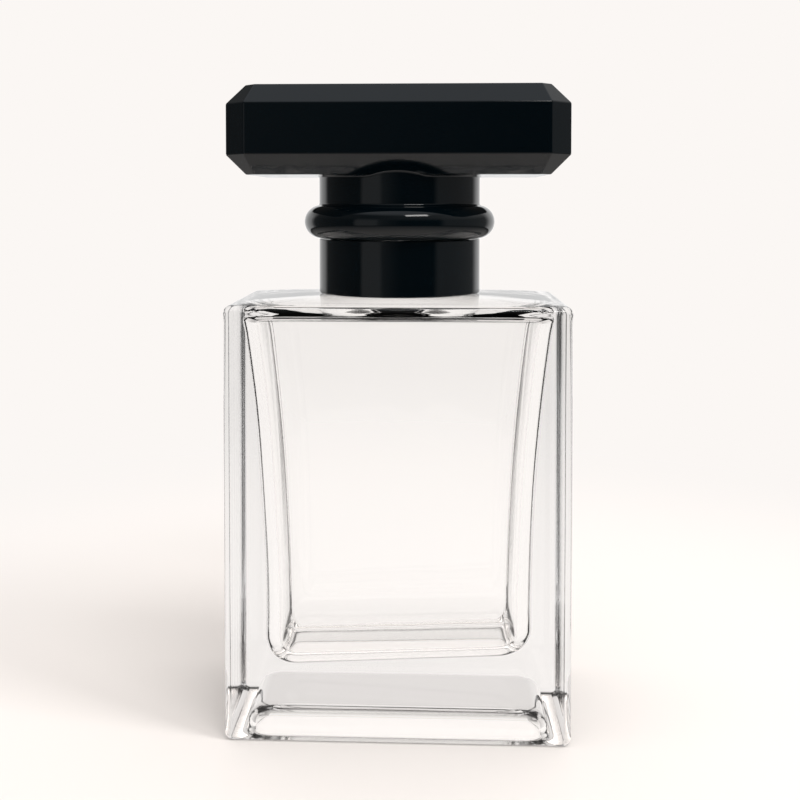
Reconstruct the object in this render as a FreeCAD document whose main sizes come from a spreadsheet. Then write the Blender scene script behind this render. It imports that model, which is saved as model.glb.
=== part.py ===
import FreeCAD, Part
import math
import os
import re

import Sketcher
from FreeCAD import Placement, Rotation, Vector

# Splash aftershave bottle: a thick-walled rectangular glass bottle with a threaded neck, a
# pour insert and a decorative collar, closed by a weighted block-shaped screw cap.
# +Z is up, X runs along the bottle's width and Y along its depth (front is -Y).
# The origin is the centre of the footprint, on the surface the bottle stands on.

# (alias, value in millimetres unless the note says otherwise, note)
DIMENSIONS = [
    # glass bottle, outside
    ("glass_width", 56.4, "width of the glass body"),
    ("glass_depth", 32.4, "depth of the glass body"),
    ("shoulder_height", 71.2, "height of the shoulder at the body's walls"),
    ("neck_foot_height", 72.1, "height that the shoulder rises to around the neck"),
    ("neck_foot_size", 25.6, "width and depth of the level area around the neck"),
    ("side_edge_radius", 1.4, "rounding of the four upright edges"),
    ("shoulder_edge_radius", 1.3, "rounding between walls and shoulder"),
    ("base_edge_radius", 1.1, "rounding around the base"),
    ("base_recess", 4.6, "height of the push-up under the base"),
    ("base_rim", 3.4, "width of the rim that the bottle stands on"),
    ("recess_corner", 3.4, "rounding of the push-up's upright corners"),
    ("recess_radius", 3.0, "rounding around the push-up's ceiling"),
    # glass bottle, inside
    ("cavity_floor", 11.4, "height of the inside floor"),
    ("cavity_waist", 46.0, "height where the inside walls start to flare"),
    ("cavity_roof", 69.2, "height of the inside roof at the walls"),
    ("floor_width", 44.8, "inside width at the floor"),
    ("floor_length", 20.4, "inside depth at the floor"),
    ("waist_width", 46.6, "inside width at the waist"),
    ("waist_length", 22.0, "inside depth at the waist"),
    ("roof_width", 52.0, "inside width at the roof"),
    ("roof_length", 24.4, "inside depth at the roof"),
    ("roof_rise", 2.4, "how far the roof climbs from the walls to the bore"),
    ("cavity_corner", 6.0, "rounding of the inside upright corners"),
    ("floor_radius", 4.4, "rounding around the inside floor"),
    ("roof_radius", 1.1, "rounding around the inside roof"),
    # neck finish, a 20 mm continuous thread
    ("bore_radius", 6.3, "radius of the mouth"),
    ("neck_radius", 8.9, "radius of the neck at the thread root"),
    ("crest_radius", 9.9, "radius of the neck over the thread"),
    ("lip_height", 98.0, "height of the sealing lip"),
    ("bead_radius", 10.4, "radius of the neck's holding bead"),
    ("bead_foot", 77.0, "height of the bead's underside"),
    ("bead_crown", 79.2, "height of the bead's upper side"),
    ("bead_slope", 0.6, "height of the slope above the bead"),
    ("neck_root", 1.0, "how far the neck runs into the shoulder"),
    ("thread_pitch", 3.175, "rise per turn, 8 threads to the inch"),
    ("thread_rise", 4.7625, "rise of the whole thread, one and a half turns"),
    ("thread_start", 89.2, "height of the neck thread's lower end"),
    ("ridge_foot", 1.9, "width of a thread ridge at its root"),
    ("ridge_crest", 1.0, "width of a thread ridge at its crest"),
    ("root_overlap", 0.2, "how far a ridge runs into the wall it grows from"),
    # black neck collar and its clip
    ("stem_radius", 13.9, "outer radius of the collar and of the cap's stem"),
    ("collar_foot", 72.3, "height of the collar's lower edge"),
    ("collar_crown", 81.55, "height of the collar's top face"),
    ("collar_wall", 1.7, "wall of the collar"),
    ("collar_web", 1.0, "thickness of the collar's top web"),
    ("web_hole_radius", 10.7, "hole in the web, which passes over the neck bead"),
    ("clip_foot", 72.9, "height of the clip's lower edge"),
    ("clip_crown", 80.4, "height of the clip's top"),
    ("clip_radius", 12.1, "outer radius of the clip"),
    ("clip_bore", 10.65, "bore of the clip beside the bead"),
    ("finger_bore", 9.15, "bore of the snap fingers under the bead"),
    ("finger_foot", 74.0, "height where the snap fingers start"),
    ("finger_crown", 76.8, "height of the snap fingers' upper side"),
    ("finger_lead", 0.9, "height of the sloped lead-in under the snap fingers"),
    ("finger_bevel", 0.4, "height of the slope over the snap fingers"),
    ("slot_width", 1.4, "width of the slots between the snap fingers"),
    ("slot_crown", 78.4, "height of the slots' upper ends"),
    # pour insert
    ("insert_gap", 0.05, "clearance of the pour insert in the mouth"),
    ("insert_wall", 0.9, "wall of the pour insert"),
    ("insert_flange", 7.9, "radius of the flange on the lip"),
    ("flange_thickness", 0.8, "thickness of that flange"),
    ("insert_foot", 90.2, "height of the pour insert's lower end"),
    ("insert_web", 1.2, "thickness of the web with the pouring hole"),
    ("drip_radius", 3.0, "radius of the pouring hole"),
    # cap, a block with bevelled edges on a round stem
    ("cap_foot", 81.7, "height of the stem's lower edge"),
    ("stem_bore", 12.1, "inner radius of the stem"),
    ("ring_height", 84.5, "height of the middle of the stem's bead"),
    ("ring_radius", 13.6, "radius of the middle of the bead's section"),
    ("ring_section", 2.85, "radius of the bead's section"),
    ("ring_blend", 0.35, "blend between the bead and the stem above it"),
    ("stem_blend", 0.5, "blend between the stem and the head"),
    ("head_foot", 92.36, "height of the head's underside"),
    ("head_crown", 107.03, "height of the head's top"),
    ("head_width", 56.0, "width of the head"),
    ("head_depth", 33.0, "depth of the head"),
    ("head_corner", 3.48, "size of the chamfers on the upright corners"),
    ("bevel_run", 3.1, "how far the bevels run in from the walls"),
    ("bevel_rise", 3.2, "height of the bevels"),
    ("head_wall", 1.6, "wall of the head"),
    ("roof_inset", 0.72, "how far the inside roof stands in from the upper bevels"),
    ("facet_radius", 0.5, "rounding between the head's facets"),
    ("edge_radius", 0.18, "rounding of the black parts' other edges"),
    ("spigot_gap", 0.1, "clearance of the base's spigot in the head"),
    ("spigot_wall", 1.2, "wall of that spigot"),
    ("spigot_height", 2.4, "height of the spigot above the parting line"),
    # threaded insert, seal and weight inside the cap
    ("screw_radius", 12.0, "outer radius of the threaded insert"),
    ("screw_bore", 10.35, "bore of the threaded insert at the thread root"),
    ("screw_crest", 9.25, "radius inside the threaded insert's ridge"),
    ("screw_foot", 82.3, "height of the threaded insert's lower end"),
    ("screw_roof", 99.9, "height of the underside of its roof"),
    ("screw_crown", 101.3, "height of its top"),
    ("screw_ridge_foot", 1.7, "width of its ridge at the root"),
    ("screw_ridge_crest", 0.8, "width of its ridge at the crest"),
    ("screw_flange", 13.4, "radius of the flange that rests on the cap base"),
    ("screw_flange_foot", 94.02, "height of that flange's underside"),
    ("screw_flange_crown", 95.2, "height of that flange's upper side"),
    ("notch_width", 2.6, "width of the flange's turning notches"),
    ("notch_floor", 12.4, "radius that the notches are cut in to"),
    ("key_gap", 0.1, "clearance of the cap base's keys in the notches"),
    ("seal_radius", 9.8, "radius of the seal disc"),
    ("seal_foot", 98.86, "height of the seal disc's underside"),
    ("seal_crown", 99.84, "height of the seal disc's upper side"),
    ("weight_width", 42.0, "width of the steel weight"),
    ("weight_depth", 21.0, "depth of the steel weight"),
    ("weight_foot", 101.4, "height of the weight's underside"),
    ("weight_crown", 105.2, "height of the weight's top"),
    ("weight_corner", 3.0, "corner radius of the weight"),
    # room for cutting
    ("overcut", 1.0, "how far a cut runs past the surface that it opens"),
]
FINGERS = 6
KEYS = 4
# How exactly an edge must lie at a size to be picked by it.
SLACK = 0.02
# Steps along an edge at which its distance from the axis is tested.
EDGE_STEPS = 4

doc = FreeCAD.newDocument("aftershave_bottle")
sheet = doc.addObject("Spreadsheet::Sheet", "Dimensions")
for row, (alias, value, note) in enumerate(DIMENSIONS, start=1):
    sheet.set("A%d" % row, alias)
    sheet.set("B%d" % row, str(value))
    sheet.set("C%d" % row, note)
    sheet.setAlias("B%d" % row, alias)
doc.recompute()

ALIASES = [alias for alias, value, note in DIMENSIONS]


def bound(expression):
    """The expression with each alias written as a cell of the sheet."""
    pattern = r"\b(%s)\b" % "|".join(ALIASES)
    return re.sub(pattern, r"Dimensions.\1", str(expression))


def size(expression):
    """The expression's value now, for first positions in sketches and for picking edges."""
    value = sheet.evalExpression(bound(expression))
    return float(getattr(value, "Value", value))


def new_body(label):
    body = doc.addObject("PartDesign::Body", label)
    body.Label = label
    return body


def origin_feature(body, role):
    for feature in body.Origin.OriginFeatures:
        if feature.Role == role:
            return feature
    raise ValueError(role)


def new_sketch(body, name, role, height=None):
    """A sketch on one of the body's origin planes, raised to a height if one is given."""
    sketch = body.newObject("Sketcher::SketchObject", name)
    sketch.AttachmentSupport = (origin_feature(body, role), [""])
    sketch.MapMode = "FlatFace"
    if height is not None:
        sketch.AttachmentOffset = Placement(Vector(0, 0, size(height)), Rotation())
        sketch.setExpression("AttachmentOffset.Base.z", bound(height))
    return sketch


def hold_point(sketch, geometry, point, axis, expression):
    """Fixes one coordinate of a sketch point to an expression; 0 puts it on the other axis."""
    if expression == 0:
        line = -2 if axis == "DistanceX" else -1
        sketch.addConstraint(Sketcher.Constraint("PointOnObject", geometry, point, line))
        return
    index = sketch.addConstraint(
        Sketcher.Constraint(axis, -1, 1, geometry, point, size(expression))
    )
    sketch.setExpression("Constraints[%d]" % index, bound(expression))


def draw_outline(sketch, corners):
    """A closed outline of straight lines through corners given as pairs of expressions."""
    first = sketch.GeometryCount
    points = [Vector(size(across), size(along), 0) for across, along in corners]
    count = len(points)
    for index in range(count):
        line = Part.LineSegment(points[index], points[(index + 1) % count])
        sketch.addGeometry(line, False)
    for index in range(count):
        following = first + (index + 1) % count
        sketch.addConstraint(
            Sketcher.Constraint("Coincident", first + index, 2, following, 1)
        )
    for index, (across, along) in enumerate(corners):
        hold_point(sketch, first + index, 1, "DistanceX", across)
        hold_point(sketch, first + index, 1, "DistanceY", along)


def draw_circle(sketch, centre, radius):
    across, along = centre
    middle = Vector(size(across), size(along), 0)
    circle = sketch.addGeometry(Part.Circle(middle, Vector(0, 0, 1), size(radius)), False)
    hold_point(sketch, circle, 3, "DistanceX", across)
    hold_point(sketch, circle, 3, "DistanceY", along)
    index = sketch.addConstraint(Sketcher.Constraint("Radius", circle, size(radius)))
    sketch.setExpression("Constraints[%d]" % index, bound(radius))


def rectangle(width, depth):
    """Corners of a rectangle centred on the axis."""
    across, along = "(%s)/2" % width, "(%s)/2" % depth
    return [
        ("-" + across, "-" + along),
        (across, "-" + along),
        (across, along),
        ("-" + across, along),
    ]


def octagon(inset):
    """Corners of the head's outline moved in by an inset, its corner chamfers kept parallel."""
    across = "(head_width/2-(%s))" % inset
    along = "(head_depth/2-(%s))" % inset
    corner = "(head_corner-(%s)*(2-sqrt(2)))" % inset
    short_across, short_along = across + "-" + corner, along + "-" + corner
    front_right = [(short_across, "-" + along), (across, "-(%s)" % short_along)]
    back_right = [(across, short_along), (short_across, along)]
    back_left = [("-(%s)" % short_across, along), ("-" + across, short_along)]
    front_left = [("-" + across, "-(%s)" % short_along), ("-(%s)" % short_across, "-" + along)]
    return front_right + back_right + back_left + front_left


def revolve(body, name, corners, cut=False):
    """Turns a closed outline in the XZ plane around the Z axis, to add to or cut the body."""
    sketch = new_sketch(body, name + "_section", "XZ_Plane")
    draw_outline(sketch, corners)
    kind = "PartDesign::Groove" if cut else "PartDesign::Revolution"
    feature = body.newObject(kind, name)
    feature.Profile = sketch
    feature.ReferenceAxis = (sketch, ["V_Axis"])
    feature.Angle = 360
    doc.recompute()
    return feature


def extrude(body, name, corners, foot, height, cut=False):
    """Raises an outline from a foot height by a height, to add to or cut the body."""
    sketch = new_sketch(body, name + "_outline", "XY_Plane", foot)
    draw_outline(sketch, corners)
    feature = body.newObject("PartDesign::Pocket" if cut else "PartDesign::Pad", name)
    feature.Profile = sketch
    feature.Length = size(height)
    feature.setExpression("Length", bound(height))
    feature.Reversed = cut
    doc.recompute()
    return feature


def loft(body, name, sections, cut=False, ruled=True):
    """Joins outlines at rising heights; sections are (corners, height) pairs."""
    sketches = []
    for index, (corners, height) in enumerate(sections):
        sketch = new_sketch(body, "%s_section_%d" % (name, index), "XY_Plane", height)
        draw_outline(sketch, corners)
        sketches.append(sketch)
    kind = "PartDesign::SubtractiveLoft" if cut else "PartDesign::AdditiveLoft"
    feature = body.newObject(kind, name)
    feature.Profile = sketches[0]
    feature.Sections = sketches[1:]
    feature.Ruled = ruled
    doc.recompute()
    return feature


def fillet(body, name, radius, picked):
    """Rounds the edges of the body's tip that the picked test accepts."""
    tip = body.Tip
    edges = ["Edge%d" % (index + 1) for index, edge in enumerate(tip.Shape.Edges) if picked(edge)]
    if not edges:
        raise ValueError("no edges for " + name)
    feature = body.newObject("PartDesign::Fillet", name)
    feature.Base = (tip, edges)
    feature.Radius = size(radius)
    feature.setExpression("Radius", bound(radius))
    doc.recompute()
    if "Invalid" in feature.State:
        raise RuntimeError("cannot round " + name)
    return feature


def bevel(body, name, picked, run, rise):
    """Cuts a bevel along level edges: run across the level face, rise up the wall."""
    tip = body.Tip
    edges = ["Edge%d" % (index + 1) for index, edge in enumerate(tip.Shape.Edges) if picked(edge)]
    feature = body.newObject("PartDesign::Chamfer", name)
    feature.Base = (tip, edges)
    feature.ChamferType = "Two distances"
    feature.Size = size(rise)
    feature.setExpression("Size", bound(rise))
    feature.Size2 = size(run)
    feature.setExpression("Size2", bound(run))
    feature.FlipDirection = False
    doc.recompute()
    if "Invalid" in feature.State:
        raise RuntimeError("cannot bevel " + name)
    return feature


def helix_ridge(body, name, corners):
    """Sweeps a ridge section up a right-hand helix of the thread's pitch and rise."""
    sketch = new_sketch(body, name + "_section", "XZ_Plane")
    draw_outline(sketch, corners)
    feature = body.newObject("PartDesign::AdditiveHelix", name)
    feature.Profile = sketch
    feature.ReferenceAxis = (sketch, ["V_Axis"])
    feature.Mode = 0
    feature.Pitch = size("thread_pitch")
    feature.setExpression("Pitch", bound("thread_pitch"))
    feature.Height = size("thread_rise")
    feature.setExpression("Height", bound("thread_rise"))
    feature.Angle = 0
    feature.LeftHanded = False
    feature.Reversed = False
    doc.recompute()
    return feature


def repeat_around(body, feature, name, count):
    """Repeats a feature around the Z axis."""
    pattern = body.newObject("PartDesign::PolarPattern", name)
    pattern.Originals = [feature]
    pattern.Axis = (origin_feature(body, "Z_Axis"), [""])
    pattern.Angle = 360
    pattern.Occurrences = count
    body.Tip = pattern
    doc.recompute()
    return pattern


def near(value, expression):
    return abs(value - size(expression)) < SLACK


def level_edge(edge, height):
    """True for an edge that lies wholly at a height."""
    box = edge.BoundBox
    return near(box.ZMin, height) and near(box.ZMax, height)


def round_edge(edge, radius, height):
    """True for a circle around the Z axis of a radius, at a height."""
    box = edge.BoundBox
    return level_edge(edge, height) and near(box.XMax, radius) and near(box.YMax, radius)


def at_height(height):
    """A test for edges that lie wholly at a height."""
    return lambda edge: level_edge(edge, height)


def rising_from(height):
    """A test for edges that start at a height and climb more than the overcut."""
    return lambda edge: (
        near(edge.BoundBox.ZMin, height) and edge.BoundBox.ZLength > size("10*overcut")
    )


def upright_to(height):
    """A test for straight upright edges from the standing surface to a height."""
    return lambda edge: (
        edge.BoundBox.XLength < SLACK
        and edge.BoundBox.YLength < SLACK
        and near(edge.BoundBox.ZMin, "0")
        and near(edge.BoundBox.ZMax, height)
    )


def on_stem(height):
    """A test for the circle of the stem's or the collar's outside at a height."""
    return lambda edge: round_edge(edge, "stem_radius", height)


def standing(edge):
    """True for a straight upright edge."""
    box = edge.BoundBox
    return box.XLength < SLACK and box.YLength < SLACK


def away_from(height):
    """A test for edges that do not lie at a height."""
    return lambda edge: not level_edge(edge, height)


def stem_joint(edge):
    """True for an edge where the stem's outside meets the head's underside or bevels."""
    box = edge.BoundBox
    foot, crown = size("head_foot") - SLACK, size("head_foot+head_wall") - 5 * SLACK
    if box.ZMin < foot or box.ZMax > crown:
        return False
    first, last = edge.ParameterRange
    shares = [step / EDGE_STEPS for step in range(EDGE_STEPS + 1)]
    points = [edge.valueAt(first + (last - first) * share) for share in shares]
    return all(near(math.hypot(point.x, point.y), "stem_radius") for point in points)


def make_glass_bottle():
    """Thick clear glass: a block with a flared cavity, a gently rising shoulder and the neck."""
    body = new_body("glass_bottle")
    extrude(body, "walls", rectangle("glass_width", "glass_depth"), 0, "shoulder_height")
    outline = rectangle("glass_width", "glass_depth")
    neck_foot = rectangle("neck_foot_size", "neck_foot_size")
    loft(body, "shoulder", [(outline, "shoulder_height"), (neck_foot, "neck_foot_height")])
    fillet(body, "shoulder_edges", "shoulder_edge_radius", at_height("shoulder_height"))
    fillet(body, "upright_edges", "side_edge_radius", rising_from("0"))
    fillet(body, "base_edges", "base_edge_radius", at_height("0"))
    recess = rectangle("glass_width-2*base_rim", "glass_depth-2*base_rim")
    extrude(body, "base_recess", recess, 0, "base_recess", cut=True)
    fillet(body, "recess_corners", "recess_corner", upright_to("base_recess"))
    fillet(body, "recess_edges", "recess_radius", at_height("base_recess"))
    neck = [
        (0, "neck_foot_height-neck_root"),
        ("neck_radius", "neck_foot_height-neck_root"),
        ("neck_radius", "bead_foot"),
        ("bead_radius", "bead_foot"),
        ("bead_radius", "bead_crown"),
        ("neck_radius", "bead_crown+bead_slope"),
        ("neck_radius", "lip_height"),
        (0, "lip_height"),
    ]
    revolve(body, "neck", neck)
    sections = [
        (rectangle("floor_width", "floor_length"), "cavity_floor"),
        (rectangle("waist_width", "waist_length"), "cavity_waist"),
        (rectangle("roof_width", "roof_length"), "cavity_roof"),
    ]
    loft(body, "cavity", sections, cut=True, ruled=False)
    fillet(body, "cavity_corners", "cavity_corner", rising_from("cavity_floor"))
    fillet(body, "floor_edges", "floor_radius", at_height("cavity_floor"))
    fillet(body, "roof_edges", "roof_radius", at_height("cavity_roof"))
    slope_foot = rectangle("roof_width-2*cavity_corner", "roof_length-2*roof_radius")
    slope_crown = rectangle("bore_radius", "bore_radius")
    crown_height = "cavity_roof+roof_rise"
    slope = [(slope_foot, "cavity_roof"), (slope_crown, crown_height)]
    loft(body, "roof_slope", slope, cut=True)
    bore = [
        (0, "cavity_roof"),
        ("bore_radius", "cavity_roof"),
        ("bore_radius", "lip_height+overcut"),
        (0, "lip_height+overcut"),
    ]
    revolve(body, "bore", bore, cut=True)
    root, crest = "neck_radius-root_overlap", "crest_radius"
    ridge = [
        (root, "thread_start-ridge_foot/2"),
        (crest, "thread_start-ridge_crest/2"),
        (crest, "thread_start+ridge_crest/2"),
        (root, "thread_start+ridge_foot/2"),
    ]
    helix_ridge(body, "thread", ridge)
    return body


def make_pour_insert():
    """Soft plug in the mouth, with a flange on the lip and a pouring hole at its foot."""
    body = new_body("pour_insert")
    tube, well = "bore_radius-insert_gap", "bore_radius-insert_gap-insert_wall"
    section = [
        ("drip_radius", "insert_foot"),
        (tube, "insert_foot"),
        (tube, "lip_height"),
        ("insert_flange", "lip_height"),
        ("insert_flange", "lip_height+flange_thickness"),
        (well, "lip_height+flange_thickness"),
        (well, "insert_foot+insert_web"),
        ("drip_radius", "insert_foot+insert_web"),
    ]
    revolve(body, "plug", section)
    return body


def make_neck_collar():
    """Glossy black sleeve over the foot of the neck, closed above by a web."""
    body = new_body("neck_collar")
    section = [
        ("stem_radius-collar_wall", "collar_foot"),
        ("stem_radius", "collar_foot"),
        ("stem_radius", "collar_crown"),
        ("web_hole_radius", "collar_crown"),
        ("web_hole_radius", "collar_crown-collar_web"),
        ("stem_radius-collar_wall", "collar_crown-collar_web"),
    ]
    revolve(body, "sleeve", section)
    fillet(body, "foot_edge", "edge_radius", on_stem("collar_foot"))
    fillet(body, "crown_edge", "edge_radius", on_stem("collar_crown"))
    return body


def make_collar_clip():
    """Ring inside the collar whose slotted fingers snap in under the neck's bead."""
    body = new_body("collar_clip")
    section = [
        ("clip_bore", "clip_foot"),
        ("clip_radius", "clip_foot"),
        ("clip_radius", "clip_crown"),
        ("clip_bore", "clip_crown"),
        ("clip_bore", "finger_crown"),
        ("finger_bore", "finger_crown-finger_bevel"),
        ("finger_bore", "finger_foot+finger_lead"),
        ("clip_bore", "finger_foot"),
    ]
    revolve(body, "ring", section)
    half = "slot_width/2"
    slot = [
        ("finger_bore-overcut", "-" + half),
        ("clip_radius+overcut", "-" + half),
        ("clip_radius+overcut", half),
        ("finger_bore-overcut", half),
    ]
    depth = "slot_crown-clip_foot"
    first = extrude(body, "slot", slot, "clip_foot", depth, cut=True)
    repeat_around(body, first, "slots", FINGERS)
    return body


def make_cap_base():
    """Lower half of the head's shell: bevels, underside, and the stem with its round bead."""
    body = new_body("cap_base")
    parting = "head_foot+bevel_rise"
    extrude(body, "block", octagon(0), "head_foot", "bevel_rise+2*overcut")
    bevel(body, "bevels", at_height("head_foot"), "bevel_run", "bevel_rise")


    def below_parting(edge):
        return edge.BoundBox.ZMin < size(parting + "-overcut")

    fillet(body, "facets", "facet_radius", below_parting)
    extrude(body, "parting", octagon("-overcut"), parting, "3*overcut", cut=True)
    inset = "head_wall+bevel_run"
    floor = "head_foot+head_wall"
    well = "bevel_rise-head_wall+overcut"
    extrude(body, "well", octagon(inset), floor, well, cut=True)
    spigot = octagon("head_wall+spigot_gap")
    rise = "bevel_rise-head_wall+spigot_height"
    extrude(body, "spigot", spigot, floor, rise)
    hollow = octagon("head_wall+spigot_gap+spigot_wall")
    extrude(body, "spigot_hollow", hollow, floor, rise + "+overcut", cut=True)
    stem = [
        (0, "cap_foot"),
        ("stem_radius", "cap_foot"),
        ("stem_radius", floor),
        (0, floor),
    ]
    revolve(body, "stem", stem)
    sketch = new_sketch(body, "ring_section_circle", "XZ_Plane")
    draw_circle(sketch, ("ring_radius", "ring_height"), "ring_section")
    ring = body.newObject("PartDesign::Revolution", "ring")
    ring.Profile = sketch
    ring.ReferenceAxis = (sketch, ["V_Axis"])
    ring.Angle = 360
    doc.recompute()
    bore = [
        (0, "cap_foot-overcut"),
        ("stem_bore", "cap_foot-overcut"),
        ("stem_bore", floor + "+overcut"),
        (0, floor + "+overcut"),
    ]
    revolve(body, "stem_bore", bore, cut=True)
    trim = [
        (0, "cap_foot-overcut"),
        ("ring_radius+ring_section+overcut", "cap_foot-overcut"),
        ("ring_radius+ring_section+overcut", "cap_foot"),
        (0, "cap_foot"),
    ]
    revolve(body, "foot_trim", trim, cut=True)
    key = [
        ("notch_floor+key_gap", "-(notch_width/2-key_gap)"),
        ("screw_flange", "-(notch_width/2-key_gap)"),
        ("screw_flange", "notch_width/2-key_gap"),
        ("notch_floor+key_gap", "notch_width/2-key_gap"),
    ]
    height = "screw_flange_crown-head_foot-head_wall"
    first = extrude(body, "key", key, floor, height)
    repeat_around(body, first, "keys", KEYS)
    ring_top = "ring_height+sqrt(ring_section^2-(stem_radius-ring_radius)^2)"
    fillet(body, "ring_blend", "ring_blend", on_stem(ring_top))
    fillet(body, "stem_blend", "stem_blend", stem_joint)
    return body


def make_cap_head():
    """Upper half of the head's shell: upright walls, upper bevels and top, open below."""
    body = new_body("cap_head")
    parting, brow = "head_foot+bevel_rise", "head_crown-bevel_rise"
    extrude(body, "block", octagon(0), parting, "head_crown-head_foot-bevel_rise")
    bevel(body, "bevels", at_height("head_crown"), "bevel_run", "bevel_rise")
    fillet(body, "facets", "facet_radius", away_from(parting))
    fillet(body, "parting_edge", "edge_radius", at_height(parting))
    inner = octagon("head_wall")
    extrude(body, "hollow", inner, parting, "head_crown-head_foot-2*bevel_rise", cut=True)
    roof = "head_crown-head_wall"
    inner_top = octagon("bevel_run+roof_inset")
    loft(body, "roof_hollow", [(inner, brow), (inner_top, roof)], cut=True)
    return body


def make_cap_weight():
    """Steel block glued under the head's roof, which gives the cap its heft."""
    body = new_body("cap_weight")
    outline = rectangle("weight_width", "weight_depth")
    extrude(body, "block", outline, "weight_foot", "weight_crown-weight_foot")
    fillet(body, "corners", "weight_corner", standing)
    return body


def make_thread_insert():
    """Threaded inner cap: a cup with an internal ridge, and a notched flange in the head."""
    body = new_body("thread_insert")
    cup = [
        ("screw_bore", "screw_foot"),
        ("screw_radius", "screw_foot"),
        ("screw_radius", "screw_flange_foot"),
        ("screw_flange", "screw_flange_foot"),
        ("screw_flange", "screw_flange_crown"),
        ("screw_radius", "screw_flange_crown"),
        ("screw_radius", "screw_crown"),
        (0, "screw_crown"),
        (0, "screw_roof"),
        ("screw_bore", "screw_roof"),
    ]
    revolve(body, "cup", cup)
    half = "notch_width/2"
    notch = [
        ("notch_floor", "-" + half),
        ("screw_flange+overcut", "-" + half),
        ("screw_flange+overcut", half),
        ("notch_floor", half),
    ]
    depth = "screw_flange_crown-screw_flange_foot"
    first = extrude(body, "notch", notch, "screw_flange_foot", depth, cut=True)
    repeat_around(body, first, "notches", KEYS)
    middle = "(thread_start-thread_pitch/2)"
    root, crest = "screw_bore+root_overlap", "screw_crest"
    ridge = [
        (crest, middle + "-screw_ridge_crest/2"),
        (root, middle + "-screw_ridge_foot/2"),
        (root, middle + "+screw_ridge_foot/2"),
        (crest, middle + "+screw_ridge_crest/2"),
    ]
    helix_ridge(body, "thread", ridge)
    return body


def make_seal_liner():
    """Foam disc between the insert's roof and the mouth; it rises with the cap but need not turn."""
    body = new_body("seal_liner")
    section = [
        (0, "seal_foot"),
        ("seal_radius", "seal_foot"),
        ("seal_radius", "seal_crown"),
        (0, "seal_crown"),
    ]
    revolve(body, "disc", section)
    return body


MAKERS = [
    make_glass_bottle,
    make_pour_insert,
    make_neck_collar,
    make_collar_clip,
    make_cap_base,
    make_cap_head,
    make_cap_weight,
    make_thread_insert,
    make_seal_liner,
]
pieces = [maker() for maker in MAKERS]
doc.recompute()

for item in doc.Objects:
    if "Invalid" in item.State or "Error" in item.State:
        raise RuntimeError("%s failed: %s" % (item.Name, item.State))
for piece in pieces:
    if piece.Shape.isNull() or not piece.Shape.isValid():
        raise RuntimeError(piece.Label + " has no valid shape")

os.makedirs("parts", exist_ok=True)
for piece in pieces:
    solids = len(piece.Shape.Solids)
    print("%-14s %d solid(s) %9.1f mm3" % (piece.Label, solids, piece.Shape.Volume))
    piece.Shape.exportStep("parts/%s.step" % piece.Label)
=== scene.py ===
import math

import bpy
from mathutils import Euler, Matrix, Vector


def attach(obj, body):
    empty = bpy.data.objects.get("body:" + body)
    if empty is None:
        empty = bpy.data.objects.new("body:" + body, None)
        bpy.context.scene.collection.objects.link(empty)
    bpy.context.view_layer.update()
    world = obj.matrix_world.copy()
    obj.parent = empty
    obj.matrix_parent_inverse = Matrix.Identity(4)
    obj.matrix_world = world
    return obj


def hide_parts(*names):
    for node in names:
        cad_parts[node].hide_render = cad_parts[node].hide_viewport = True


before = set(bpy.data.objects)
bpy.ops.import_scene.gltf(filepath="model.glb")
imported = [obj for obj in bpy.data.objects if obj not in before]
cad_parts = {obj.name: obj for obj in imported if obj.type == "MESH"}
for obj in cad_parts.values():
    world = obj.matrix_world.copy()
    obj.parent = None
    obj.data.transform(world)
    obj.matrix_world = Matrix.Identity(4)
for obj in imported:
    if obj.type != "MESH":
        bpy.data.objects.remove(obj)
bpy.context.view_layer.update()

# --- small helpers -----------------------------------------------------------------------


def new_material(name):
    """A material with nothing but its output and a Principled shader."""
    material = bpy.data.materials.new(name)
    material.use_nodes = True
    nodes = material.node_tree.nodes
    nodes.clear()
    output = nodes.new("ShaderNodeOutputMaterial")
    shader = nodes.new("ShaderNodeBsdfPrincipled")
    material.node_tree.links.new(shader.outputs[0], output.inputs["Surface"])
    return material, shader


def dress(node, material):
    """Gives a CAD node a material of this script."""
    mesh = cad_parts[node].data
    mesh.materials.clear()
    mesh.materials.append(material)


def math_node(tree, operation, first, second):
    """A Math node whose two inputs are sockets or numbers."""
    node = tree.nodes.new("ShaderNodeMath")
    node.operation = operation
    for socket, value in zip(node.inputs, (first, second)):
        if isinstance(value, (int, float)):
            socket.default_value = value
        else:
            tree.links.new(value, socket)
    return node.outputs[0]


def noise(tree, scale, detail, stretch=(1, 1, 1)):
    """Procedural noise in the object's own coordinates; scale is features per metre."""
    place = tree.nodes.new("ShaderNodeTexCoord")
    mapping = tree.nodes.new("ShaderNodeMapping")
    mapping.inputs["Scale"].default_value = stretch
    texture = tree.nodes.new("ShaderNodeTexNoise")
    texture.inputs["Scale"].default_value = scale
    texture.inputs["Detail"].default_value = detail
    tree.links.new(place.outputs["Object"], mapping.inputs["Vector"])
    tree.links.new(mapping.outputs[0], texture.inputs["Vector"])
    return texture.outputs["Fac"]


def spread(tree, value, low, high, start=0.0, end=1.0):
    """Maps a value between two bounds onto a new range."""
    node = tree.nodes.new("ShaderNodeMapRange")
    node.inputs["From Min"].default_value = start
    node.inputs["From Max"].default_value = end
    node.inputs["To Min"].default_value = low
    node.inputs["To Max"].default_value = high
    tree.links.new(value, node.inputs["Value"])
    return node.outputs[0]


def bump(tree, shader, height, depth):
    """Raises the surface by a height value times a depth in metres."""
    node = tree.nodes.new("ShaderNodeBump")
    node.inputs["Strength"].default_value = 1.0
    node.inputs["Distance"].default_value = depth
    tree.links.new(height, node.inputs["Height"])
    tree.links.new(node.outputs[0], shader.inputs["Normal"])


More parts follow.
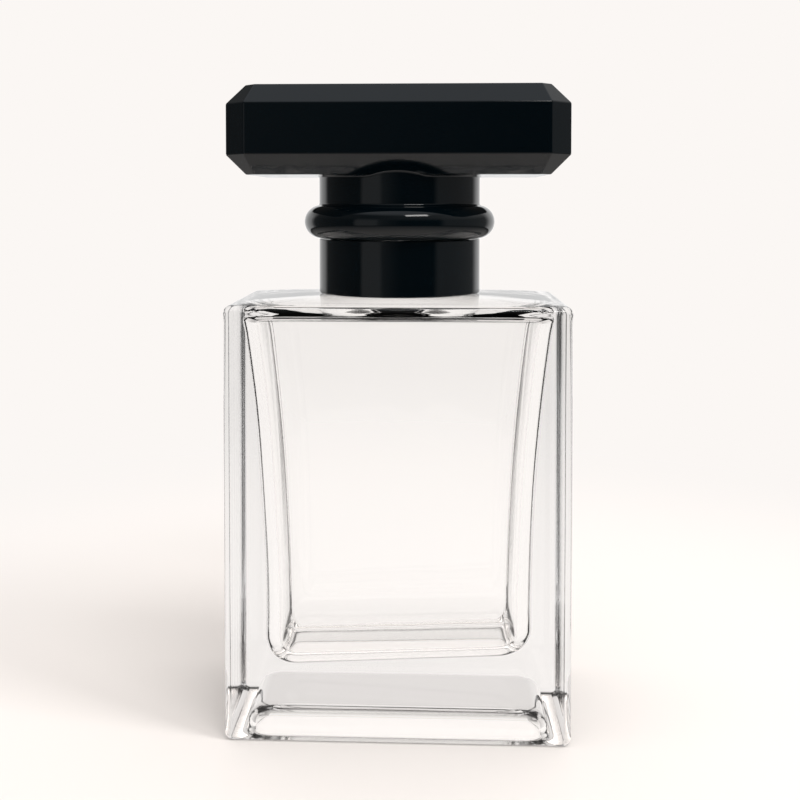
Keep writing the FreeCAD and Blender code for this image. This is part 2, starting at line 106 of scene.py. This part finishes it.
def graded(tree, shader, value, first, second):
    """Base colour that varies between two colours with a procedural value."""
    ramp = tree.nodes.new("ShaderNodeValToRGB")
    elements = ramp.color_ramp.elements
    elements[0].color, elements[1].color = (*first, 1), (*second, 1)
    tree.links.new(value, ramp.inputs["Fac"])
    tree.links.new(ramp.outputs["Color"], shader.inputs["Base Color"])


def output_of(material):
    """The output node of a material."""
    return next(node for node in material.node_tree.nodes if node.type == "OUTPUT_MATERIAL")


# --- materials ---------------------------------------------------------------------------

# Only the narrow sides of the glass are streaked: from here outwards, in metres from the middle.
STREAKS_FROM = 0.0279
STREAKS_FULL = 0.0281
# The glass absorbs per metre this number times what its colour lacks of 1.
GLASS_DENSITY = 40.0


def clear_glass():
    """Clear glass, faintly grey in its depth, with faint upright streaks on the narrow sides."""
    material, shader = new_material("clear_glass")
    shader.inputs["Base Color"].default_value = (1.0, 0.998, 0.995, 1)
    shader.inputs["IOR"].default_value = 1.52
    shader.inputs["Transmission Weight"].default_value = 1.0
    tree = material.node_tree
    streaks = spread(tree, noise(tree, 500, 3, (1, 1, 0.04)), 0.02, 0.22, 0.3, 0.7)
    place = tree.nodes.new("ShaderNodeTexCoord")
    split = tree.nodes.new("ShaderNodeSeparateXYZ")
    tree.links.new(place.outputs["Object"], split.inputs[0])
    away = math_node(tree, "ABSOLUTE", split.outputs["X"], 0)
    side = spread(tree, away, 0.0, 1.0, STREAKS_FROM, STREAKS_FULL)
    tree.links.new(math_node(tree, "MULTIPLY", streaks, side), shader.inputs["Roughness"])
    depth = tree.nodes.new("ShaderNodeVolumeAbsorption")
    depth.inputs["Color"].default_value = (0.90, 0.905, 0.91, 1)
    depth.inputs["Density"].default_value = GLASS_DENSITY
    tree.links.new(depth.outputs[0], output_of(material).inputs["Volume"])
    return material


def black_gloss():
    """Polished black moulding: slow waves of shrinkage and a trace of wear in the polish."""
    material, shader = new_material("black_gloss")
    shader.inputs["Base Color"].default_value = (0.0004, 0.0019, 0.0030, 1)
    shader.inputs["IOR"].default_value = 1.47
    tree = material.node_tree
    wear = spread(tree, noise(tree, 420, 6), 0.035, 0.13, 0.35, 0.75)
    tree.links.new(wear, shader.inputs["Roughness"])
    bump(tree, shader, noise(tree, 110, 2), 0.00003)
    return material


def black_matte():
    """Unpolished black moulding with the fine grain of its mould."""
    material, shader = new_material("black_matte")
    tree = material.node_tree
    grain = noise(tree, 2600, 4)
    graded(tree, shader, noise(tree, 160, 3), (0.006, 0.007, 0.008), (0.014, 0.015, 0.016))
    tree.links.new(spread(tree, grain, 0.38, 0.6, 0.3, 0.7), shader.inputs["Roughness"])
    bump(tree, shader, grain, 0.00003)
    return material


def natural_plastic():
    """Undyed soft plastic: milky, with cloudy patches and a waxy, uneven surface."""
    material, shader = new_material("natural_plastic")
    tree = material.node_tree
    graded(tree, shader, noise(tree, 240, 3), (0.70, 0.70, 0.66), (0.84, 0.84, 0.81))
    waxy = noise(tree, 900, 3)
    tree.links.new(spread(tree, waxy, 0.3, 0.5, 0.3, 0.7), shader.inputs["Roughness"])
    bump(tree, shader, waxy, 0.00002)
    return material


def seal_foam():
    """Pale closed-cell foam: many small round cells under a dull skin, with painted shade
    darkening each cell towards its rim, where the surface dips.
    """
    material, shader = new_material("seal_foam")
    shader.inputs["Roughness"].default_value = 0.85
    tree = material.node_tree
    place = tree.nodes.new("ShaderNodeTexCoord")
    cells = tree.nodes.new("ShaderNodeTexVoronoi")
    cells.inputs["Scale"].default_value = 2200
    tree.links.new(place.outputs["Object"], cells.inputs["Vector"])
    # painted shade: each cell's colour darkens towards its rim, where the surface dips
    graded(tree, shader, cells.outputs["Distance"], (0.80, 0.79, 0.75), (0.55, 0.54, 0.50))
    bump(tree, shader, cells.outputs["Distance"], -0.0001)
    return material


def steel():
    """Ground steel: fine scratches along the block and a slight stain."""
    material, shader = new_material("steel")
    shader.inputs["Metallic"].default_value = 1.0
    tree = material.node_tree
    scratches = noise(tree, 1800, 3, (0.04, 1, 1))
    graded(tree, shader, noise(tree, 120, 4), (0.42, 0.41, 0.40), (0.60, 0.60, 0.61))
    tree.links.new(spread(tree, scratches, 0.25, 0.5, 0.3, 0.7), shader.inputs["Roughness"])
    bump(tree, shader, scratches, 0.00002)
    return material


glass = clear_glass()
black = black_gloss()
matte = black_matte()
dress("glass_bottle", glass)
for node in ("neck_collar", "cap_base", "cap_head"):
    dress(node, black)
for node in ("collar_clip", "thread_insert"):
    dress(node, matte)
dress("pour_insert", natural_plastic())
dress("seal_liner", seal_foam())
dress("cap_weight", steel())

# --- glass -------------------------------------------------------------------------------

MM = 0.001
# Points of a ring along each rounded corner, long side and short side.
CORNER_STEPS = 10
LONG_STEPS = 36
SHORT_STEPS = 24
# Rings up the walls, over the shoulder, down the roof's slope and down the cavity.
WALL_STEPS = 40
SHOULDER_STEPS = 12
SLOPE_STEPS = 14
CAVITY_STEPS = 30
# Shares at which the rings of a flat face lie, from its middle to its edge.
FACE_SHARES = (0.01, 0.35, 0.7, 0.9)


def rounded_ring(half_x, half_y, radius):
    """Points of a rounded rectangle around the origin, counter-clockwise from its right side."""
    radius = min(radius, half_x, half_y)
    straight_x, straight_y = half_x - radius, half_y - radius
    points = []
    sides = [
        ((half_x, -straight_y), (half_x, straight_y), SHORT_STEPS, 0),
        ((straight_x, half_y), (-straight_x, half_y), LONG_STEPS, 90),
        ((-half_x, straight_y), (-half_x, -straight_y), SHORT_STEPS, 180),
        ((-straight_x, -half_y), (straight_x, -half_y), LONG_STEPS, 270),
    ]
    centres = [
        (straight_x, straight_y),
        (-straight_x, straight_y),
        (-straight_x, -straight_y),
        (straight_x, -straight_y),
    ]
    for (start, end, steps, turn), centre in zip(sides, centres):
        for step in range(steps):
            share = step / steps
            points.append(
                (start[0] + (end[0] - start[0]) * share, start[1] + (end[1] - start[1]) * share)
            )
        for step in range(CORNER_STEPS):
            angle = math.radians(turn + 90 * step / CORNER_STEPS)
            points.append(
                (centre[0] + radius * math.cos(angle), centre[1] + radius * math.sin(angle))
            )
    return points


def ring_at(half_x, half_y, radius, height):
    """A rounded rectangle's points at a height."""
    return [(x, y, height) for x, y in rounded_ring(half_x, half_y, radius)]


def fillet_steps(count):
    """Angles from 0 to 90 degrees in equal steps, both ends included."""
    return [math.radians(90 * step / count) for step in range(count + 1)]


class Glass:
    """Sizes of the glass in millimetres."""
    half_x = 28.2
    half_y = 16.2
    corner = 1.4
    base_edge = 1.1
    base_corner = 0.3
    rim = 3.4
    recess = 4.6
    recess_edge = 3.0
    recess_foot = 1.0
    recess_corner = 3.4
    shoulder = 71.2
    shoulder_edge = 1.3
    plateau = 72.1
    neck = 8.9
    neck_blend = 1.2
    bead = 10.4
    bead_low = 77.0
    bead_high = 79.2
    bead_edge = 0.3
    bead_root = (0.2, 0.1)
    bead_slope = 0.6
    lip = 98.0
    lip_radius = 0.6
    bore = 6.3
    bore_edge = 0.3
    floor = 11.4
    floor_tilt = 1.5
    floor_half = (22.4, 10.2)
    floor_edge = 4.4
    floor_corner = 0.5
    waist = 46.0
    waist_half = (23.3, 11.0)
    roof = 69.2
    roof_half = (26.0, 12.2)
    roof_edge = 1.1
    cavity_corner = 6.0
    funnel = 2.4
    thread_start = 89.2
    pitch = 3.175
    turns = 1.5
    crest = 1.0
    # half width of the ridge at its foot, run of each flank, and run-out at its ends in turns
    ridge_reach = 0.95
    ridge_flank = 0.45
    ridge_fade = 0.04
    thread_margin = 1.4
    thread_step = 0.22
    outer_wave = 0.0015
    inner_wave = 0.005


def cavity_half(g, height):
    """Half width and half depth of the cavity at a height, on a smooth curve through three."""
    a, b, c = g.floor, g.waist, g.roof
    t = (height - a) * (height - b) / ((c - a) * (c - b))
    u = (height - a) * (height - c) / ((b - a) * (b - c))
    v = (height - b) * (height - c) / ((a - b) * (a - c))
    return tuple(v * f + u * w + t * r for f, w, r in zip(g.floor_half, g.waist_half, g.roof_half))


def ripple(angle, height):
    """A smooth unevenness between -1 and 1 around and up the glass, heights in millimetres."""
    return (
        0.40 * math.sin(3 * angle + 0.085 * height + 0.7)
        + 0.35 * math.sin(5 * angle - 0.13 * height + 2.1)
        + 0.25 * math.sin(8 * angle + 0.21 * height + 4.0)
    )


def uneven(ring, share, inward=False):
    """Moves a ring's points by up to a share of their distance from the axis, either way or
    only inward."""
    moved = []
    for x, y, z in ring:
        wave = ripple(math.atan2(y, x), z)
        scale = 1 - share * (1 - wave) / 2 if inward else 1 + share * wave
        moved.append((x * scale, y * scale, z))
    return moved


def settled(g, ring):
    """Tilts the lower part of the cavity a little, lower on the left, as gathered glass sets."""
    tilted = []
    for x, y, z in ring:
        low = max(0.0, 1 - (z - g.floor) / (g.waist - g.floor))
        tilted.append((x, y, z + g.floor_tilt * low ** 3 * x / g.half_x))
    return tilted


def push_up_rings(g):
    """The hollow under the base: ceiling, rounded edge, wall and rounded foot."""
    inner_x, inner_y = g.half_x - g.rim, g.half_y - g.rim
    ceiling_x, ceiling_y = inner_x - g.recess_edge, inner_y - g.recess_edge
    rings = []
    for share in FACE_SHARES:
        rings.append(ring_at(ceiling_x * share, ceiling_y * share, g.recess_corner * share,
                             g.recess))
    for angle in fillet_steps(6):
        inset = g.recess_edge * (1 - math.sin(angle))
        rings.append(ring_at(inner_x - inset, inner_y - inset, g.recess_corner - inset / 2,
                             g.recess - g.recess_edge * (1 - math.cos(angle))))
    for angle in fillet_steps(4):
        out = g.recess_foot * (1 - math.cos(angle))
        rings.append(ring_at(inner_x + out, inner_y + out, g.recess_corner + out,
                             g.recess_foot * (1 - math.sin(angle))))
    return rings


def wall_rings(g):
    """The outside from the rounded base edge up to the rounded shoulder edge."""
    rings = []
    for angle in fillet_steps(6):
        inset = g.base_edge * (1 - math.sin(angle))
        corner = max(g.corner - inset, g.base_corner)
        rings.append(ring_at(g.half_x - inset, g.half_y - inset, corner,
                             g.base_edge * (1 - math.cos(angle))))
    top = g.shoulder - g.shoulder_edge
    for step in range(1, WALL_STEPS):
        height = g.base_edge + (top - g.base_edge) * step / WALL_STEPS
        rings.append(uneven(ring_at(g.half_x, g.half_y, g.corner, height), g.outer_wave, True))
    for angle in fillet_steps(8):
        inset = g.shoulder_edge * (1 - math.cos(angle))
        rings.append(ring_at(g.half_x - inset, g.half_y - inset, g.corner,
                             top + g.shoulder_edge * math.sin(angle)))
    return rings


def shoulder_rings(g, start, angles):
    """The rise from the last ring of the walls to the circle at the neck's foot."""
    radius = g.neck + g.neck_blend
    rings = []
    for step in range(1, SHOULDER_STEPS + 1):
        share = step / SHOULDER_STEPS
        rise = (g.plateau - g.shoulder) * math.sin(share * math.pi / 2)
        ring = []
        for (x, y, z), angle in zip(start, angles):
            cx, cy = radius * math.cos(angle), radius * math.sin(angle)
            ring.append((x + (cx - x) * share, y + (cy - y) * share, z + rise))
        rings.append(ring)
    return rings


def circle(angles, radius, height):
    """A round ring with its points at the given angles."""
    return [(radius * math.cos(a), radius * math.sin(a), height) for a in angles]


def neck_rings(g, angles):
    """The neck's rounded foot and the bead that holds the collar's clip."""
    rings = []
    for angle in fillet_steps(4)[1:]:
        rings.append(circle(angles, g.neck + g.neck_blend * (1 - math.sin(angle)),
                            g.plateau + g.neck_blend * (1 - math.cos(angle))))
    edge = g.bead_edge
    root_out, root_down = g.bead_root
    bead = [
        (g.neck, g.bead_low - root_down),
        (g.neck + root_out, g.bead_low),
        (g.bead - edge, g.bead_low),
        (g.bead, g.bead_low + edge),
        (g.bead, g.bead_high - edge),
        (g.bead - edge, g.bead_high),
        (g.neck, g.bead_high + g.bead_slope),
    ]
    for radius, height in bead:
        rings.append(circle(angles, radius, height))
    return rings


def ridge(g, angle, height):
    """How far the thread ridge stands out of the neck at a point."""
    best = 0.0
    for turn in range(-1, 3):
        phase = angle / (2 * math.pi) % 1.0 + turn
        if not 0 <= phase <= g.turns:
            continue
        away = abs(height - g.thread_start - g.pitch * phase)
        slope = min(1.0, max(0.0, (g.ridge_reach - away) / g.ridge_flank))
        ends = min(1.0, phase / g.ridge_fade, (g.turns - phase) / g.ridge_fade)
        best = max(best, slope * max(ends, 0))
    return best * g.crest


def thread_rings(g, angles):
    """The threaded part of the neck."""
    low = g.thread_start - g.thread_margin
    high = g.thread_start + g.pitch * g.turns + g.thread_margin
    steps = int((high - low) / g.thread_step)
    rings = []
    for step in range(steps + 1):
        height = low + (high - low) * step / steps
        reach = [g.neck + ridge(g, a, height) for a in angles]
        rings.append([(r * math.cos(a), r * math.sin(a), height) for r, a in zip(reach, angles)])
    return rings


def mouth_rings(g, angles):
    """The rounded lip, the bore down to its foot and the slope from there out to the roof."""
    rings = []
    for angle in fillet_steps(4):
        rings.append(circle(angles, g.neck - g.lip_radius * (1 - math.cos(angle)),
                            g.lip - g.lip_radius * (1 - math.sin(angle))))
    crown, foot = g.lip - g.bore_edge, g.roof + g.funnel
    rings.append(circle(angles, g.bore + g.bore_edge, g.lip))
    rings.append(circle(angles, g.bore, crown))
    for share in (0.05, 0.5, 0.95):
        rings.append(circle(angles, g.bore, crown + (foot - crown) * share))
    roof_x, roof_y = [half - g.roof_edge for half in g.roof_half]
    roof_ring = ring_at(roof_x, roof_y, g.cavity_corner, g.roof)
    for step in range(SLOPE_STEPS + 1):
        share = step / SLOPE_STEPS
        ring = []
        for (x, y, z), a in zip(roof_ring, angles):
            cx, cy = g.bore * math.cos(a), g.bore * math.sin(a)
            ring.append((cx + (x - cx) * share, cy + (y - cy) * share, foot + (z - foot) * share))
        rings.append(ring)
    return rings


def cavity_rings(g):
    """The cavity from the roof's rounded edge down the walls to the middle of the floor."""
    rings = []
    for angle in fillet_steps(5)[1:]:
        inset = g.roof_edge * (1 - math.sin(angle))
        height = g.roof - g.roof_edge * (1 - math.cos(angle))
        wx, wy = cavity_half(g, height)
        rings.append(ring_at(wx - inset, wy - inset, g.cavity_corner, height))
    low, high = g.floor + g.floor_edge, g.roof - g.roof_edge
    for step in range(1, CAVITY_STEPS):
        height = high + (low - high) * step / CAVITY_STEPS
        wx, wy = cavity_half(g, height)
        rings.append(settled(g, uneven(ring_at(wx, wy, g.cavity_corner, height), g.inner_wave)))
    for angle in fillet_steps(8):
        inset = g.floor_edge * (1 - math.cos(angle))
        height = low - g.floor_edge * math.sin(angle)
        wx, wy = cavity_half(g, height)
        corner = max(g.cavity_corner - inset, g.floor_corner)
        ring = ring_at(wx - inset, wy - inset, corner, height)
        rings.append(settled(g, uneven(ring, g.inner_wave)))
    wx, wy = [half - g.floor_edge for half in g.floor_half]
    corner = g.cavity_corner - g.floor_edge
    for share in reversed(FACE_SHARES):
        ring = ring_at(wx * share, wy * share, corner * share, g.floor)
        rings.append(settled(g, uneven(ring, g.inner_wave)))
    return rings


def glass_rings(g):
    """The glass as closed rings with as many points each, from the push-up round the outside
    and back down the inside to the cavity floor."""
    angles = [math.atan2(y, x) for x, y in rounded_ring(g.half_x, g.half_y, g.corner)]
    rings = push_up_rings(g) + wall_rings(g)
    rings += shoulder_rings(g, rings[-1], angles)
    rings += neck_rings(g, angles) + thread_rings(g, angles) + mouth_rings(g, angles)
    return rings + cavity_rings(g)


def build_glass(g, material):
    """Joins the rings into one closed mesh that stands in for the CAD glass."""
    rings = glass_rings(g)
    count = len(rings[0])
    vertices = [(x * MM, y * MM, z * MM) for ring in rings for x, y, z in ring]
    faces = []
    for level in range(len(rings) - 1):
        for index in range(count):
            following = (index + 1) % count
            a, b = level * count + index, level * count + following
            faces.append((a, b, b + count, a + count))
    faces.append(tuple(range(count - 1, -1, -1)))
    last = (len(rings) - 1) * count
    faces.append(tuple(range(last, last + count)))
    mesh = bpy.data.meshes.new("bottle_glass")
    mesh.from_pydata(vertices, [], faces)
    mesh.update()
    for polygon in mesh.polygons:
        polygon.use_smooth = True
    mesh.materials.append(material)
    piece = bpy.data.objects.new("bottle_glass", mesh)
    bpy.context.scene.collection.objects.link(piece)
    modifier = piece.modifiers.new("weighted", "WEIGHTED_NORMAL")
    modifier.weight = 100
    modifier.keep_sharp = False
    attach(piece, "bottle")
    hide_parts("glass_bottle")
    return piece


build_glass(Glass, glass)

# --- studio ------------------------------------------------------------------------------

PALE = (0.965, 0.93, 0.905)
# The surround as seen through the glass high above the horizon.
DIM = (0.84, 0.80, 0.775)
# Brightness that mirror-like surfaces see around the object, by compass angle in degrees
# from the front, positive to the right.
AROUND = [
    (-180, 0.95),
    (-132, 0.9),
    (-122, 0.1),
    (-56, 0.05),
    (-51, 0.36),
    (-27, 0.36),
    (-22, 0.15),
    (-8, 0.07),
    (4, 0.025),
    (50, 0.02),
    (58, 0.22),
    (100, 0.2),
    (128, 0.16),
    (142, 0.9),
    (180, 0.95),
]
# The same from 30 to 46 degrees above the horizon.
RAISED = [
    (-180, 0.5),
    (-150, 0.14),
    (-40, 0.1),
    (30, 0.2),
    (110, 0.5),
    (170, 0.55),
    (180, 0.5),
]
OVERHEAD = (0.62, 0.65, 0.69)
# Sines of the heights above the horizon between which one card gives way to the next.
RAISED_RUN = (0.22, 0.5)
OVERHEAD_RUN = (0.72, 0.88)
DIM_RUN = (0.15, 0.5)
# Brightness seen through the glass, by the same compass angle.
THROUGH = [
    (-180, 1.0),
    (-125, 0.97),
    (-95, 0.66),
    (-70, 0.5),
    (-30, 0.55),
    (0, 0.62),
    (30, 0.55),
    (70, 0.72),
    (120, 1.0),
    (180, 1.0),
]

# The floor, in metres. Round the bottle it is lit; further out it fades into the surround.
FLOOR_RADIUS = 0.32
FLOOR_SPOKES = 96
FADE_FROM = 0.045
FADE_TO = 0.20
# Painted light on the floor below the clear glass, standing in for the light that the glass
# gathers there, and the floor's own painted glow elsewhere.
PAINTED_UNDER_LIGHT = 0.78
PAINTED_FLOOR_LIGHT = 0.0
# How far inside the bottle's outline that painted light starts and is full, in millimetres.
PAINTED_LIGHT_EDGE = (0.3, 2.5)
# Share of the surround's brightness that the floor has when it is seen through the glass, outside
# the bottle's footprint: painted light that stands in for the light which passes through the glass
# into its shadow.
PAINTED_THROUGH_LIGHT = 0.85
# Painted light: how much brighter the floor close to the bottle is when it is seen through the
# glass, and the distances between which that falls to nothing.
PAINTED_NEAR_GAIN = 1.13
GAIN_RUN = (0.06, 0.28)
# Painted shade: how much darker mirror-like surfaces see the floor, near the bottle and far from
# it.
PAINTED_MIRROR_SHADE = (0.2, 0.97)
MIRROR_RUN = (0.03, 0.30)

# Place, width, height and power of each lamp, which all face the lit point.
LIT_POINT = (0, 0, 0.05)
KEY = ((0.80, -0.34, 0.66), 0.32, 0.32, 4.6)
FRONT_LAMP = ((0.21, -0.41, 0.611), 0.28, 0.12, 1.0)

CAMERA_PLACE = (0.0051, -0.1914, 0.0882)
CAMERA_TURN = (90 - 1.948, 0, 2.5)
SENSOR = 36.0
LENS = 49.5
CLIP = 0.01
# How far the picture is slid on the camera's back, as a share of the lens's focal length.
SLIDE_X = 0.01745
SLIDE_Y = -0.14771


def compass_ramp(tree, angle, stops):
    """Grey level by compass angle; the angle is a socket that runs from 0 to 1."""
    ramp = tree.nodes.new("ShaderNodeValToRGB")
    elements = ramp.color_ramp.elements
    elements[0].position, elements[1].position = 0.0, 1.0
    for degrees, _ in stops[1:-1]:
        elements.new((degrees + 180) / 360)
    for element, (degrees, level) in zip(elements, stops):
        element.color = (level, level, level, 1)
    tree.links.new(angle, ramp.inputs["Fac"])
    return ramp.outputs["Color"]


def colour_mix(tree, factor, first, second, blend="MIX"):
    """A colour Mix node whose inputs are sockets, numbers or colours."""
    node = tree.nodes.new("ShaderNodeMixRGB")
    node.blend_type = blend
    for socket, value in zip(node.inputs, (factor, first, second)):
        if isinstance(value, (int, float)):
            socket.default_value = value
        elif isinstance(value, tuple):
            socket.default_value = (*value, 1)
        else:
            tree.links.new(value, socket)
    return node.outputs[0]


def studio_world():
    """A seamless pale surround. Mirrored and refracted rays see cards in it, by direction."""
    world = bpy.data.worlds.new("studio")
    world.use_nodes = True
    tree = world.node_tree
    place = tree.nodes.new("ShaderNodeTexCoord")
    split = tree.nodes.new("ShaderNodeSeparateXYZ")
    tree.links.new(place.outputs["Generated"], split.inputs[0])
    x, y, z = split.outputs
    backwards = math_node(tree, "MULTIPLY", y, -1.0)
    turn = math_node(tree, "ARCTAN2", x, backwards)
    angle = math_node(tree, "MULTIPLY_ADD", turn, 0.5 / math.pi)
    angle.node.inputs[2].default_value = 0.5
    around = compass_ramp(tree, angle, AROUND)
    raised = compass_ramp(tree, angle, RAISED)
    lower = colour_mix(tree, spread(tree, z, 0.0, 1.0, *RAISED_RUN), around, raised)
    mirrored = colour_mix(tree, spread(tree, z, 0.0, 1.0, *OVERHEAD_RUN), lower, OVERHEAD)
    through = compass_ramp(tree, angle, THROUGH)
    dimmer = colour_mix(tree, spread(tree, z, 0.0, 1.0, *DIM_RUN), PALE, DIM)
    seen = colour_mix(tree, 1.0, through, dimmer, "MULTIPLY")
    kind = tree.nodes.new("ShaderNodeLightPath")
    glossy = colour_mix(tree, kind.outputs["Is Glossy Ray"], PALE, mirrored)
    light = colour_mix(tree, kind.outputs["Is Transmission Ray"], glossy, seen)
    final = colour_mix(tree, kind.outputs["Is Camera Ray"], light, PALE)
    tree.links.new(final, tree.nodes["Background"].inputs["Color"])
    bpy.context.scene.world = world


def footprint(tree, position):
    """1 below the bottle and 0 outside it, from a position on the floor."""
    split = tree.nodes.new("ShaderNodeSeparateXYZ")
    tree.links.new(position, split.inputs[0])
    sides = []
    for socket, half in ((split.outputs["X"], Glass.half_x), (split.outputs["Y"], Glass.half_y)):
        away = math_node(tree, "ABSOLUTE", socket, 0)
        start, full = [(half - inset) * MM for inset in PAINTED_LIGHT_EDGE]
        sides.append(spread(tree, away, 0.0, 1.0, start, full))
    return math_node(tree, "MULTIPLY", sides[0], sides[1])


def floor_material():
    """Matt pale floor, lit by the key, with painted light below the bottle, and different to
    mirrored and refracted rays: these see painted shade and painted light on it.
    """
    material, shader = new_material("floor")
    shader.inputs["Base Color"].default_value = (0.86, 0.83, 0.81, 1)
    shader.inputs["Roughness"].default_value = 1.0
    shader.inputs["Specular IOR Level"].default_value = 0.0
    shader.inputs["Emission Color"].default_value = (*PALE, 1)
    tree = material.node_tree
    place = tree.nodes.new("ShaderNodeTexCoord")
    length = tree.nodes.new("ShaderNodeVectorMath")
    length.operation = "LENGTH"
    tree.links.new(place.outputs["Object"], length.inputs[0])
    distance = length.outputs["Value"]
    kind = tree.nodes.new("ShaderNodeLightPath")
    refracted = kind.outputs["Is Transmission Ray"]

    below = footprint(tree, place.outputs["Object"])
    # painted light below the bottle: the floor glows there, though it is no lamp
    painted_glow = spread(tree, below, PAINTED_FLOOR_LIGHT, PAINTED_UNDER_LIGHT)
    tree.links.new(painted_glow, shader.inputs["Emission Strength"])

    # the floor's even pale glow far out, and painted light where it is seen through the glass near
    # the bottle or in the bottle's shadow
    surround_and_painted_light = tree.nodes.new("ShaderNodeEmission")
    surround_and_painted_light.inputs["Color"].default_value = (*PALE, 1)
    painted_gain = spread(tree, distance, PAINTED_NEAR_GAIN - 1, 0.0, *GAIN_RUN)
    painted_brighter = math_node(tree, "MULTIPLY", refracted, painted_gain)
    tree.links.new(math_node(tree, "ADD", painted_brighter, 1.0), surround_and_painted_light.inputs["Strength"])

    fade = spread(tree, distance, 0.0, 1.0, FADE_FROM, FADE_TO)
    fade.node.interpolation_type = "SMOOTHSTEP"
    # painted light: seen through the glass, the floor outside the bottle's footprint glows at the
    # surround's brightness, filling the bottle's shadow
    covered = math_node(tree, "MULTIPLY", below, PAINTED_THROUGH_LIGHT)
    outside = math_node(tree, "SUBTRACT", PAINTED_THROUGH_LIGHT, covered)
    painted_passed = math_node(tree, "MULTIPLY", refracted, outside)
    blend = tree.nodes.new("ShaderNodeMixShader")
    tree.links.new(math_node(tree, "MAXIMUM", fade, painted_passed), blend.inputs[0])
    tree.links.new(shader.outputs[0], blend.inputs[1])
    tree.links.new(surround_and_painted_light.outputs[0], blend.inputs[2])

    # painted shade: mirror-like surfaces see the floor darkened, more so far from the bottle
    painted_dark = tree.nodes.new("ShaderNodeEmission")
    painted_dark.inputs["Strength"].default_value = 0.0
    painted_shade_share = spread(tree, distance, *PAINTED_MIRROR_SHADE, *MIRROR_RUN)
    # a refracted ray counts as glossy too, so it is left out here
    mirror_ray = math_node(tree, "GREATER_THAN", kind.outputs["Is Glossy Ray"], refracted)
    mirrored = tree.nodes.new("ShaderNodeMixShader")
    tree.links.new(math_node(tree, "MULTIPLY", mirror_ray, painted_shade_share), mirrored.inputs[0])
    tree.links.new(blend.outputs[0], mirrored.inputs[1])
    tree.links.new(painted_dark.outputs[0], mirrored.inputs[2])
    tree.links.new(mirrored.outputs[0], output_of(material).inputs["Surface"])
    return material


def floor():
    """A pale disc that fades into the surround a little way from the object."""
    mesh = bpy.data.meshes.new("floor")
    rim = [math.radians(360 * step / FLOOR_SPOKES) for step in range(FLOOR_SPOKES)]
    points = [(FLOOR_RADIUS * math.cos(a), FLOOR_RADIUS * math.sin(a), 0) for a in rim]
    mesh.from_pydata(points, [], [tuple(range(FLOOR_SPOKES))])
    piece = bpy.data.objects.new("floor", mesh)
    bpy.context.scene.collection.objects.link(piece)
    mesh.materials.append(floor_material())


def softbox(name, place, width, height, power, mirrored=False):
    """A soft light aimed at the bottle; it only shows in mirror-like surfaces if asked to."""
    data = bpy.data.lights.new(name, "AREA")
    data.shape = "RECTANGLE"
    data.size = width
    data.size_y = height
    data.energy = power
    data.color = (1.0, 0.985, 0.965)
    piece = bpy.data.objects.new(name, data)
    piece.location = place
    aim = Vector(LIT_POINT) - Vector(place)
    piece.rotation_euler = aim.to_track_quat("-Z", "Y").to_euler()
    bpy.context.scene.collection.objects.link(piece)
    piece.visible_camera = False
    piece.visible_glossy = mirrored
    piece.visible_transmission = False


def camera():
    """A camera whose back stays nearly upright, so that upright edges stay parallel. The slant
    in its parent's inverse slides the picture down and sideways, as a view camera does."""
    data = bpy.data.cameras.new("camera")
    data.sensor_width = SENSOR
    stretch = math.sqrt(1 + SLIDE_X ** 2 + SLIDE_Y ** 2)
    data.lens = LENS * stretch
    data.clip_start = CLIP
    carrier = bpy.data.objects.new("camera_carrier", None)
    piece = bpy.data.objects.new("camera", data)
    bpy.context.scene.collection.objects.link(carrier)
    bpy.context.scene.collection.objects.link(piece)
    slant = Matrix.Identity(4)
    slant.col[2] = (-SLIDE_X / stretch, -SLIDE_Y / stretch, 1 / stretch, 0)
    turn = Euler([math.radians(angle) for angle in CAMERA_TURN]).to_matrix().to_4x4()
    piece.parent = carrier
    piece.matrix_parent_inverse = Matrix.Translation(CAMERA_PLACE) @ turn @ slant
    bpy.context.scene.camera = piece


floor()
studio_world()
softbox("key", *KEY)
softbox("front_lamp", *FRONT_LAMP, mirrored=True)
camera()
bpy.context.scene.view_settings.view_transform = "Standard"
